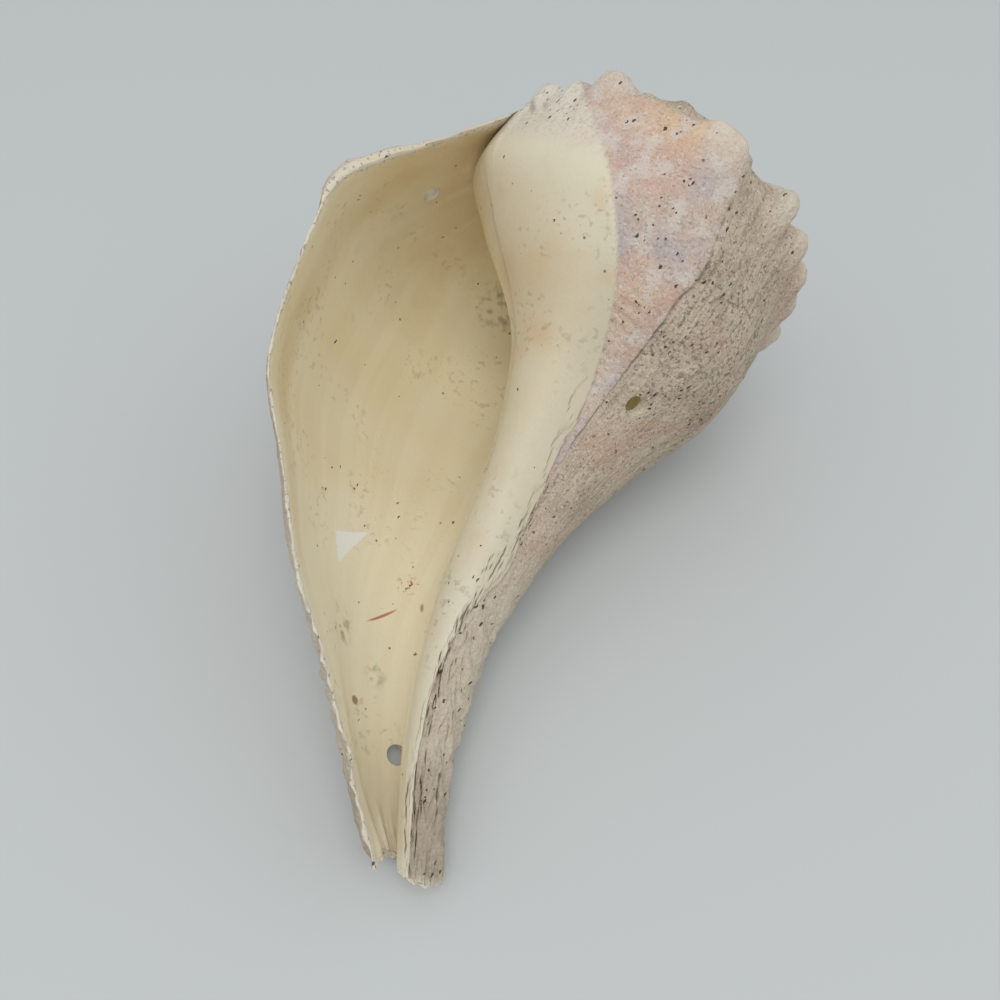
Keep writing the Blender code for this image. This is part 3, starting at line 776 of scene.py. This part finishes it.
# Each layer: colour, strength, and the masks that it is painted through
OUTSIDE_LAYERS = (
    ("#94846f", 0.45, "dark cloud"), ("#b48d78", 0.45, "salmon cloud"),
    ("#c6b8a3", 0.6, "pale cloud", "streak"), ("#85765f", 0.5, "dark streak"),
    ("#6f6253", 0.35, "mottle", "patch"), ("#665a4d", 0.7, "mottle", "speckled"),
    ("#d6ccb8", 0.55, "fine pale"), ("#5f5345", 0.6, "fine dark"), ("#c9bda8", 0.6, "canal"),
    ("#85775f", 0.5, "tip end"), ("#cfc4b0", 0.3, "chalk vein"),
)
YOUNG_LAYERS = (
    ("#b0a6a5", 0.7, "lilac cloud"), ("#c9a290", 0.4, "peach cloud"), ("#c69a88", 0.5, "pink"),
    ("#cba790", 0.55, "crown"), ("#dcb482", 0.75, "orange"), ("#bd917a", 0.6, "salmon"),
    ("#d6c2a6", 0.75, "ribs"), ("#cfc4ba", 0.65, "pale cloud"), ("#8b796d", 0.3, "mottle", "patch"),
    ("#d9d0c4", 0.22, "chalk vein"), ("#dcd4c8", 0.45, "fine pale"), ("#8a776b", 0.5, "fine dark"),
)
GLAZE_LAYERS = (
    # The darker tan fold layer is painted shade on the pillar's edge.
    ("#c6aa80", 0.5, "fold shade"), ("#cfaa82", 0.5, "peach cloud"), ("#d3ccb8", 0.35, "cream cloud"),
    ("#cdc5b0", 0.6, "low"), ("#b3a78d", 0.5, "glaze side"), ("#9a9074", 0.45, "grime", "grime patch"),
    ("#ded8ca", 0.12, "fine pale"),
)
INSIDE_LAYERS = (
    ("#d3b988", 0.5, "near lip", "off lip"), ("#dcc693", 0.2, "growth band"), ("#c7ad80", 0.5, "tip end"),
    ("#cdb384", 0.55, "ochre back"), ("#d6bb8a", 0.5, "ochre roof"), ("#f1ebd7", 0.45, "low"),
    ("#f2ecd8", 0.25, "cream cloud"), ("#8b8260", 0.25, "grime", "grime patch"),
    ("#6f6a4c", 0.6, "dark stain", "stain cloud"), ("#6a6448", 0.5, "dark stain low", "stain cloud"),
    ("#8b8a70", 0.8, "green stain", "stain cloud"), ("#7f806a", 0.8, "green stain low", "stain cloud"),
    ("#ad4030", 1.0, "red specks", "mottle"), ("#8d6a3c", 0.85, "brown spot"),
    ("#9a5a30", 0.7, "brown nick"), ("#b5523a", 0.8, "scratch"), ("#f4f3ee", 0.95, "paper"),
)
CHALKY_LAYERS = (
    ("#d6ccba", 1.0, "chalky"), ("#8f856f", 0.4, "chalky", "mottle"),
    ("#ddd6c6", 0.6, "chalky", "fine pale"),
)
LAST_LAYERS = (
    # The two crease layers paint shade into that fold.
    ("#6b5f4b", 0.55, "crease shade"), ("#6b5f4b", 0.45, "crease shade right"), ("#4a3e30", 0.8, "fleck"),
    # The dark crack layer paints the cracks and also painted shade along the ledges and beside the old lip's
    # step.
    ("#d3cab7", 0.6, "edge"), ("#6c6455", 0.6, "edge", "rim dirt"), ("#56442f", 0.8, "crack_and_step_shade"),
    ("#3b2817", 0.92, "pit"),
)


def shell_masks(tree, spot):
    """Where each stain, cloud and zone of the shell lies, by name."""
    masks = {}
    for attribute, names in CORNER_SHARES:
        shares = add_node(tree, "ShaderNodeAttribute", out=None, attribute_name=attribute)
        parts = add_node(tree, "ShaderNodeSeparateColor", {0: shares.outputs["Color"]}, None)
        masks.update(zip(names, list(parts.outputs) + [shares.outputs["Alpha"]]))
    coats = {0: masks["inside"], 1: masks["glaze"]}
    masks["polished"] = add_node(tree, "ShaderNodeMath", coats, operation="MAXIMUM")
    limits = {0: masks["polished"], 1: 0.0, 2: 1.0, 3: 1.0, 4: 0.12}
    masks["bare"] = add_node(tree, "ShaderNodeMapRange", limits)

    growth = add_node(tree, "ShaderNodeUVMap", out="UV", uv_map="growth")
    turn, place = add_node(tree, "ShaderNodeSeparateXYZ", {0: growth}, None).outputs[:2]
    ranges = [(name, turn, low, high) for name, low, high in TURN_RANGES]
    ranges += [(name, place, low, high) for name, low, high in PLACE_RANGES]
    for name, size, detail, low, high in CLOUDS:
        pattern = {"Vector": spot, "Scale": 1 / size, "Detail": detail}
        cloud = add_node(tree, "ShaderNodeTexNoise", pattern, "Fac")
        ranges.append((name, cloud, low, high))
    for name, stretch, detail, low, high in STREAKS:
        along = add_node(tree, "ShaderNodeMapping", {"Vector": growth, "Scale": stretch})
        cloud = add_node(tree, "ShaderNodeTexNoise", {"Vector": along, "Scale": 1.0, "Detail": detail}, "Fac")
        ranges.append((name, cloud, low, high))
    size, detail, width = CHALK_VEIN
    cloud = add_node(tree, "ShaderNodeTexNoise", {"Vector": spot, "Scale": 1 / size, "Detail": detail}, "Fac")
    away = add_node(tree, "ShaderNodeMath", {0: cloud, 1: 0.5}, operation="SUBTRACT")
    away = add_node(tree, "ShaderNodeMath", {0: away}, operation="ABSOLUTE")
    ranges.append(("chalk vein", away, width, 0.0))
    pattern = {"Vector": spot, "Scale": 1 / ZONE_RAGGED, "Detail": 2.0}
    ragged = add_node(tree, "ShaderNodeTexNoise", pattern, "Fac")
    for name, centre, size, soft in ZONES:
        around = {"Vector": spot, "Location": centre, "Scale": size}
        here = add_node(tree, "ShaderNodeMapping", around, vector_type="TEXTURE")
        away = add_node(tree, "ShaderNodeVectorMath", {0: here}, 1, operation="LENGTH")
        away = add_node(tree, "ShaderNodeMath", {0: ragged, 1: soft, 2: away}, operation="MULTIPLY_ADD")
        ranges.append((name, away, 1 + 1.5 * soft, 1 - 0.5 * soft))
    for name, source, low, high in ranges:
        limits = {0: source, 1: low, 2: high}
        masks[name] = add_node(tree, "ShaderNodeMapRange", limits, interpolation_type="SMOOTHSTEP")
    return masks


def scratch_mask(tree, spot):
    """The red scratch, a long thin ellipse."""
    start, end = (Vector(point) for point in SCRATCH)
    turned = (end - start).to_track_quat("X", "Z").to_euler()
    size = ((end - start).length / 2, SCRATCH_HALF_WIDTH, SCRATCH_DEPTH)
    around = {"Vector": spot, "Location": (start + end) / 2, "Rotation": turned, "Scale": size}
    here = add_node(tree, "ShaderNodeMapping", around, vector_type="TEXTURE")
    away = add_node(tree, "ShaderNodeVectorMath", {0: here}, 1, operation="LENGTH")
    return add_node(tree, "ShaderNodeMapRange", {0: away, 1: 1.1, 2: 0.7})


def paper_mask(tree, spot):
    """The scrap of paper, a three-cornered tear with a slightly ragged edge."""
    corner, across, down = (Vector(point) for point in PAPER)
    across, down = across - corner, down - corner
    facing = across.cross(down).normalized()
    square = down - across * down.dot(across) / across.length_squared
    turned = Matrix((across.normalized(), square.normalized(), facing)).transposed().to_euler()
    size = (across.length, square.length, PAPER_DEPTH)
    around = {"Vector": spot, "Location": corner, "Rotation": turned, "Scale": size}
    here = add_node(tree, "ShaderNodeMapping", around, vector_type="TEXTURE")
    torn = add_node(tree, "ShaderNodeTexNoise", {"Vector": spot, "Scale": 1 / 2.2, "Detail": 3.0}, "Color")
    moved = {0: torn, 1: (PAPER_TORN, PAPER_TORN, 0), 2: here}
    here = add_node(tree, "ShaderNodeVectorMath", moved, operation="MULTIPLY_ADD")
    x, y, z = add_node(tree, "ShaderNodeSeparateXYZ", {0: here}, None).outputs
    cut = add_node(tree, "ShaderNodeMath", {0: x, 1: y}, operation="ADD")
    depth = add_node(tree, "ShaderNodeMath", {0: z}, operation="ABSOLUTE")
    scrap = 1.0
    for value, low, high in ((x, 0.08, 0.12), (y, 0.08, 0.12), (cut, 1.28, 1.24), (depth, 1.1, 1.0)):
        side = add_node(tree, "ShaderNodeMapRange", {0: value, 1: low, 2: high})
        scrap = add_node(tree, "ShaderNodeMath", {0: side, 1: scrap}, operation="MULTIPLY")
    return scrap


def fleck_mask(tree, spot):
    """Single dark flecks, far apart."""
    cells = add_node(tree, "ShaderNodeTexVoronoi", {"Vector": spot, "Scale": 1 / FLECK_SPACING}, None)
    chance = add_node(tree, "ShaderNodeSeparateXYZ", {0: cells.outputs["Color"]})
    dot = add_node(tree, "ShaderNodeMapRange", {0: cells.outputs["Distance"], 1: 0.09, 2: 0.05})
    chosen = add_node(tree, "ShaderNodeMath", {0: chance, 1: 0.3}, operation="LESS_THAN")
    return add_node(tree, "ShaderNodeMath", {0: dot, 1: chosen}, operation="MULTIPLY")


def pit_mask(tree, spot, masks):
    """Small leaning bore holes, in clusters and thickest on bare shell."""
    drift = add_node(tree, "ShaderNodeTexNoise", {"Vector": spot, "Scale": 1 / 1.2, "Detail": 1.0}, "Color")
    drift = add_node(tree, "ShaderNodeVectorMath", {0: drift, "Scale": PIT_DRIFT}, operation="SCALE")
    where = add_node(tree, "ShaderNodeVectorMath", {0: spot, 1: drift}, operation="ADD")
    size = (PIT_STRETCH * PIT_SPACING, PIT_SPACING, PIT_SPACING)
    leaning = {"Vector": where, "Rotation": (0, 0, PIT_LEAN), "Scale": size}
    where = add_node(tree, "ShaderNodeMapping", leaning, vector_type="TEXTURE")
    cells = add_node(tree, "ShaderNodeTexVoronoi", {"Vector": where, "Scale": 1.0}, None)
    chance = add_node(tree, "ShaderNodeSeparateXYZ", {0: cells.outputs["Color"]}, None)
    widths = {0: chance.outputs["Y"], 1: PIT_WIDTHS[0], 2: PIT_WIDTHS[1]}
    width = add_node(tree, "ShaderNodeMath", widths, operation="MULTIPLY_ADD")
    near = add_node(tree, "ShaderNodeMath", {0: cells.outputs["Distance"], 1: width}, operation="DIVIDE")
    pit = add_node(tree, "ShaderNodeMapRange", {0: near, 1: 1.1, 2: 0.7}, interpolation_type="SMOOTHSTEP")
    pattern = {"Vector": spot, "Scale": 1 / PIT_CLUSTER, "Detail": 1.0}
    often = add_node(tree, "ShaderNodeTexNoise", pattern, "Fac")
    often = add_node(tree, "ShaderNodeMapRange", {0: often, 1: 0.5, 2: 0.64, 3: 0.08, 4: 0.85})
    for name, more in (("canal", 0.3), ("chalky", 0.3), ("riddled", 0.45)):
        added = {0: masks[name], 1: more, 2: often}
        often = add_node(tree, "ShaderNodeMath", added, operation="MULTIPLY_ADD")
    often = add_node(tree, "ShaderNodeMath", {0: often, 1: masks["bare"]}, operation="MULTIPLY")
    chosen = add_node(tree, "ShaderNodeMath", {0: chance.outputs["X"], 1: often}, operation="LESS_THAN")
    return add_node(tree, "ShaderNodeMath", {0: pit, 1: chosen}, operation="MULTIPLY")


def weathered_aragonite():
    """The shell's one material."""
    material = bpy.data.materials.new("weathered_aragonite")
    material.use_nodes = True
    tree = material.node_tree
    shader = tree.nodes["Principled BSDF"]
    spot = add_node(tree, "ShaderNodeTexCoord", out="Object")
    spot = add_node(tree, "ShaderNodeVectorMath", {0: spot, "Scale": 1 / MM}, operation="SCALE")
    masks = shell_masks(tree, spot)
    masks["scratch"] = scratch_mask(tree, spot)
    masks["paper"] = paper_mask(tree, spot)
    masks["fleck"] = fleck_mask(tree, spot)
    masks["pit"] = pit_mask(tree, spot, masks)
    outside = painted(tree, linear("#bdaa94"), OUTSIDE_LAYERS, masks)
    young = painted(tree, linear("#c0aa9a"), YOUNG_LAYERS, masks)
    share = masks["before old lip"]
    for name in ("after glaze", "above canal", "on body"):
        share = add_node(tree, "ShaderNodeMath", {0: share, 1: masks[name]}, operation="MULTIPLY")
    outside = add_node(tree, "ShaderNodeMix", {0: share, 6: outside, 7: young}, 2, data_type="RGBA")
    outside = painted(tree, outside, (("#d9cfbd", 0.5, "crest"),), masks)
    glaze = painted(tree, linear("#d1c5a9"), GLAZE_LAYERS, masks)
    inside = painted(tree, linear("#efe2be"), INSIDE_LAYERS, masks)
    colour = add_node(tree, "ShaderNodeMix", {0: masks["glaze"], 6: outside, 7: glaze}, 2, data_type="RGBA")
    colour = add_node(tree, "ShaderNodeMix", {0: masks["inside"], 6: colour, 7: inside}, 2, data_type="RGBA")
    colour = painted(tree, colour, CHALKY_LAYERS + LAST_LAYERS, masks)
    tree.links.new(colour, shader.inputs["Base Color"])
    rough = add_node(tree, "ShaderNodeMapRange", {0: masks["polished"], 1: 0.0, 2: 1.0, 3: 0.8, 4: 0.5})
    tree.links.new(rough, shader.inputs["Roughness"])
    grain = {"Vector": spot, "Scale": 1 / GRIT_SIZE, "Detail": 3.0, "Roughness": 0.55}
    grit = add_node(tree, "ShaderNodeTexNoise", grain, "Fac")
    grit = add_node(tree, "ShaderNodeMath", {0: grit, 1: masks["bare"]}, operation="MULTIPLY")
    grit = add_node(tree, "ShaderNodeMath", {0: masks["pit"], 1: -0.5, 2: grit}, operation="MULTIPLY_ADD")
    bump = add_node(tree, "ShaderNodeBump", {"Height": grit, "Distance": GRIT_DEPTH * MM, "Strength": 1.0})
    tree.links.new(bump, shader.inputs["Normal"])
    shader.inputs["IOR"].default_value = 1.53
    return material


# The shell: weathering
# Sea and sun have pitted the outside: small bore holes in clusters, a rough grain, and crumbling
# along the rim. The same worn relief follows the whole surface, so a node tree makes it.
WEAR_SIZES = (
    ("Dent depth", 0.5), ("Dent spacing", 6.0), ("Grain depth", 0.34), ("Grain size", 3.0),
    ("Hollows depth", 0.5), ("Hollows size", 9.0), ("Rim crumble", 0.8), ("Knob roughness", 1.6),
)


def weathering_tree(material):
    """Node tree that moves the skin by hollows, grain, dents and a crumbling rim."""
    tree = bpy.data.node_groups.new("weathering", "GeometryNodeTree")
    tree.interface.new_socket("Geometry", in_out="INPUT", socket_type="NodeSocketGeometry")
    for name, value in WEAR_SIZES:
        tree.interface.new_socket(name, in_out="INPUT", socket_type="NodeSocketFloat").default_value = value
    tree.interface.new_socket("Geometry", in_out="OUTPUT", socket_type="NodeSocketGeometry")
    size = add_node(tree, "NodeGroupInput", out=None).outputs
    shares = add_node(tree, "GeometryNodeInputNamedAttribute", {"Name": "skin"}, data_type="FLOAT_COLOR")
    inside, glaze, edge = add_node(tree, "FunctionNodeSeparateColor", {0: shares}, None).outputs[:3]
    shares = add_node(tree, "GeometryNodeInputNamedAttribute", {"Name": "wear"}, data_type="FLOAT_COLOR")
    crest = add_node(tree, "FunctionNodeSeparateColor", {0: shares})
    spot = add_node(tree, "GeometryNodeInputPosition")
    spot = add_node(tree, "ShaderNodeVectorMath", {0: spot, "Scale": 1 / MM}, operation="SCALE")
    covered = add_node(tree, "ShaderNodeMath", {0: inside, 1: glaze}, operation="MAXIMUM")
    bare = add_node(tree, "ShaderNodeMapRange", {0: covered, 1: 0.0, 2: 1.0, 3: 1.0, 4: 0.12})
    rougher = {0: crest, 1: size["Knob roughness"], 2: bare}
    rough = add_node(tree, "ShaderNodeMath", rougher, operation="MULTIPLY_ADD")

    # Two noises, each centred on zero: broad hollows and fine grain
    height = 0.0
    for depth, width in (("Hollows depth", "Hollows size"), ("Grain depth", "Grain size")):
        scale = add_node(tree, "ShaderNodeMath", {0: 1.0, 1: size[width]}, operation="DIVIDE")
        noise = add_node(tree, "ShaderNodeTexNoise", {"Vector": spot, "Scale": scale, "Detail": 4.0}, "Fac")
        noise = add_node(tree, "ShaderNodeMath", {0: noise, 1: 2.0, 2: -1.0}, operation="MULTIPLY_ADD")
        noise = add_node(tree, "ShaderNodeMath", {0: noise, 1: size[depth]}, operation="MULTIPLY")
        height = add_node(tree, "ShaderNodeMath", {0: noise, 1: rough, 2: height}, operation="MULTIPLY_ADD")

    # Dents: one in three cells of a random pattern
    scale = add_node(tree, "ShaderNodeMath", {0: 1.0, 1: size["Dent spacing"]}, operation="DIVIDE")
    cells = add_node(tree, "ShaderNodeTexVoronoi", {"Vector": spot, "Scale": scale}, None)
    dent = add_node(tree, "ShaderNodeMapRange", {0: cells.outputs["Distance"], 1: 0.22, 2: 0.08},
                    interpolation_type="SMOOTHSTEP")
    chance = add_node(tree, "ShaderNodeSeparateXYZ", {0: cells.outputs["Color"]})
    chosen = add_node(tree, "ShaderNodeMath", {0: chance, 1: 0.3}, operation="LESS_THAN")
    for share in (chosen, bare, size["Dent depth"]):
        dent = add_node(tree, "ShaderNodeMath", {0: dent, 1: share}, operation="MULTIPLY")
    height = add_node(tree, "ShaderNodeMath", {0: height, 1: dent}, operation="SUBTRACT")

    # Crumbling rim
    noise = add_node(tree, "ShaderNodeTexNoise", {"Vector": spot, "Scale": 1 / 2.3, "Detail": 3.0}, "Fac")
    noise = add_node(tree, "ShaderNodeMath", {0: noise, 1: 2.0, 2: -1.1}, operation="MULTIPLY_ADD")
    noise = add_node(tree, "ShaderNodeMath", {0: noise, 1: size["Rim crumble"]}, operation="MULTIPLY")
    height = add_node(tree, "ShaderNodeMath", {0: noise, 1: edge, 2: height}, operation="MULTIPLY_ADD")

    height = add_node(tree, "ShaderNodeMath", {0: height, 1: MM}, operation="MULTIPLY")
    outward_way = add_node(tree, "GeometryNodeInputNormal")
    push = add_node(tree, "ShaderNodeVectorMath", {0: outward_way, "Scale": height}, operation="SCALE")
    moved = add_node(tree, "GeometryNodeSetPosition", {"Geometry": size["Geometry"], "Offset": push})
    real = add_node(tree, "GeometryNodeRealizeInstances", {"Geometry": moved})
    coated = add_node(tree, "GeometryNodeSetMaterial", {"Geometry": real, "Material": material})
    add_node(tree, "NodeGroupOutput", {"Geometry": coated})
    return tree


# The shell: three drilled holes, and the finished piece
# Each hole was drilled straight through the wall with the same 6 mm bit after the shell was found.
# Each hole: angle in degrees and place: on the body, in the canal, under the lip's top
HOLES = ((-250, 0.49), (-119, 0.9), (-27, 0.134))
HOLE_WIDTH = 6.2
HOLE_LENGTH = 22.0
HOLE_SIDES = 40
SHARP_ANGLE = math.radians(55)


def drill_bits(finish):
    """One mesh of three round bars along the holes."""
    bits = bmesh.new()
    for degrees, place in HOLES:
        angle = np.array([math.radians(degrees)])
        place = np.array([place])
        radius, height, share = outside_point(angle, place)
        out_r, out_z = outward(angle, place)
        middle = place_in_world(radius, height, angle, share)[0]
        above = place_in_world(radius + out_r * 10, height + out_z * 10, angle, share)[0]
        turned = Vector(above - middle).to_track_quat("Z", "Y").to_matrix().to_4x4()
        turned.translation = Vector(middle * MM)
        bmesh.ops.create_cone(bits, cap_ends=True, segments=HOLE_SIDES, radius1=HOLE_WIDTH / 2 * MM,
                              radius2=HOLE_WIDTH / 2 * MM, depth=HOLE_LENGTH * MM, matrix=turned)
    mesh = bpy.data.meshes.new("drill_bits")
    bits.to_mesh(mesh)
    bits.free()
    mesh.uv_layers.new(name="growth")
    for name, values in (("skin", (0.6, 0.0, 0.6, 0.0)), ("wear", (0.0, 0.0, 0.0, 0.0))):
        shares = mesh.attributes.new(name, "FLOAT_COLOR", "CORNER")
        shares.data.foreach_set("color", list(values) * len(mesh.loops))
    mesh.materials.append(finish)
    bar = bpy.data.objects.new("drill_bits", mesh)
    bpy.context.collection.objects.link(bar)
    return bar


def make_shell():
    """The worn, drilled shell as one plain mesh."""
    finish = weathered_aragonite()
    mesh = skin_mesh(build_skin(), "shell_skin")
    mesh.materials.append(finish)
    raw = bpy.data.objects.new("shell_skin", mesh)
    bpy.context.collection.objects.link(raw)
    bar = drill_bits(finish)
    worn = raw.modifiers.new("weathering", "NODES")
    worn.node_group = weathering_tree(finish)
    triangles = sum(len(face.vertices) - 2 for face in mesh.polygons)
    fewer = raw.modifiers.new("fewer", "DECIMATE")
    fewer.ratio = MOST_TRIANGLES / triangles
    cut = raw.modifiers.new("holes", "BOOLEAN")
    cut.operation = "DIFFERENCE"
    cut.solver = "EXACT"
    cut.object = bar
    done = bpy.data.meshes.new_from_object(raw.evaluated_get(bpy.context.evaluated_depsgraph_get()))
    done.name = "whelk_shell"
    done.shade_smooth()
    done.set_sharp_from_angle(angle=SHARP_ANGLE)
    piece = bpy.data.objects.new("whelk_shell", done)
    bpy.context.collection.objects.link(piece)
    bpy.data.objects.remove(raw, do_unlink=True)
    bpy.data.objects.remove(bar, do_unlink=True)
    return piece


shell = make_shell()
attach(shell, "root")
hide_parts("shell")

# The floor
# A plain pale board with a soft, even finish.
FLOOR_HALF = 3.0
FLOOR_DROP = 0.0002


def make_floor():
    """A wide flat board just under the shell."""
    mesh = bpy.data.meshes.new("floor")
    corners = [(x * FLOOR_HALF, y * FLOOR_HALF, -FLOOR_DROP) for x, y in ((-1, -1), (1, -1), (1, 1), (-1, 1))]
    mesh.from_pydata(corners, [], [(0, 1, 2, 3)])
    material = bpy.data.materials.new("matt_board")
    material.use_nodes = True
    shader = material.node_tree.nodes["Principled BSDF"]
    shader.inputs["Base Color"].default_value = linear("#bfc1bf")
    shader.inputs["Roughness"].default_value = 0.75
    mesh.materials.append(material)
    floor = bpy.data.objects.new("floor", mesh)
    bpy.context.collection.objects.link(floor)
    return floor


make_floor()

# Light and camera
# Soft daylight from above and in front, a little from each side, and a pale room all round.
# The camera looks down on the shell from the front, at the photograph's angle.
CAMERA_PLACE = (-0.01644, -0.19249, 0.29118)
CAMERA_TILT = math.radians(35.987)
LENS = 36.0
SENSOR = 36.0
NEAREST = 0.01
SKY = 0.85
SOFT_BOX_SIZE = 1.0
SOFT_BOXES = (
    ("soft_box_front", (0.0, -0.5, 1.4), 6.6), ("soft_box_right", (0.9, -0.3, 1.1), 0.9),
    ("soft_box_left", (-0.9, -0.3, 1.1), 0.9),
)
LIGHT_TARGET = (0, 0, 0.05)


def make_light(name, place, power):
    """A round soft box that points at the shell."""
    lamp = bpy.data.lights.new(name, "AREA")
    lamp.energy = power
    lamp.shape = "DISK"
    lamp.size = SOFT_BOX_SIZE
    thing = bpy.data.objects.new(name, lamp)
    thing.location = place
    thing.rotation_euler = (Vector(LIGHT_TARGET) - Vector(place)).to_track_quat("-Z", "Y").to_euler()
    bpy.context.collection.objects.link(thing)


for name, place, power in SOFT_BOXES:
    make_light(name, place, power)
world = bpy.data.worlds.new("soft_room")
bpy.context.scene.world = world
world.use_nodes = True
background = world.node_tree.nodes["Background"]
background.inputs["Color"].default_value = linear("#e9eef2")
background.inputs["Strength"].default_value = SKY
bpy.context.scene.view_settings.view_transform = "Standard"
lens = bpy.data.cameras.new("camera")
lens.lens = LENS
lens.sensor_width = SENSOR
lens.clip_start = NEAREST
camera = bpy.data.objects.new("camera", lens)
camera.location = CAMERA_PLACE
camera.rotation_euler = (CAMERA_TILT, 0, 0)
bpy.context.collection.objects.link(camera)
bpy.context.scene.camera = camera
